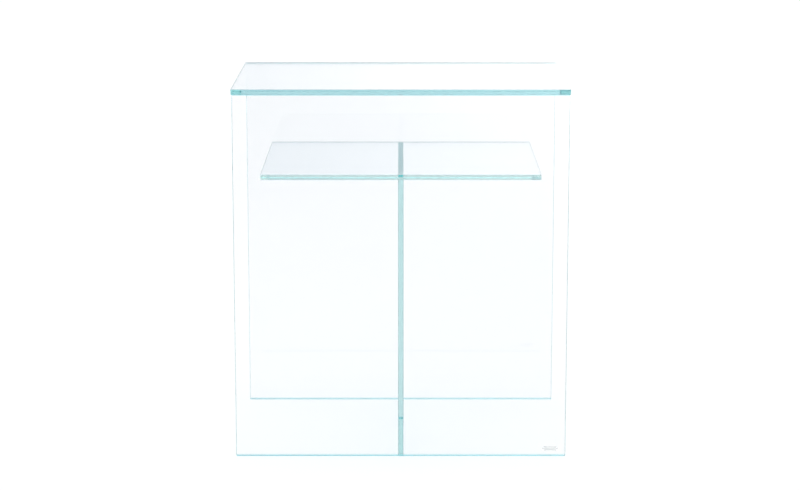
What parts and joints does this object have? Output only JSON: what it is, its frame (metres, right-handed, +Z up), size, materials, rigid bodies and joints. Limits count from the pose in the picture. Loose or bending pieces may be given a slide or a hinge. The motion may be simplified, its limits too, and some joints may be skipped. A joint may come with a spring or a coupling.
{
  "type": "glass aquarium stand",
  "caption": "Clear glass stand: a flat top on full-height front and back panels, which are tied by a shelf on a central upright, with open ends.",
  "frame": {"origin": "on the floor under the middle of the stand", "axes": "+Z up, the front faces -Y, +X to the right as seen from the front"},
  "size_m": [0.627, 0.427, 0.7],
  "materials": {
    "clear_glass": "polished low-iron float glass, ground and polished edges that look aqua",
    "clear_adhesive": "clear cured adhesive, smooth"
  },
  "bodies": {
    "root": {"top_plate": "clear_glass", "front_panel": "clear_glass", "back_panel": "clear_glass", "shelf": "clear_glass", "centre_upright": "clear_glass", "bond_top_to_front_panel": "clear_adhesive", "bond_top_to_back_panel": "clear_adhesive", "bond_shelf_to_front_panel": "clear_adhesive", "bond_shelf_to_back_panel": "clear_adhesive", "bond_shelf_to_upright": "clear_adhesive", "bond_upright_to_front_panel": "clear_adhesive", "bond_upright_to_back_panel": "clear_adhesive"}
  },
  "joints": []
}
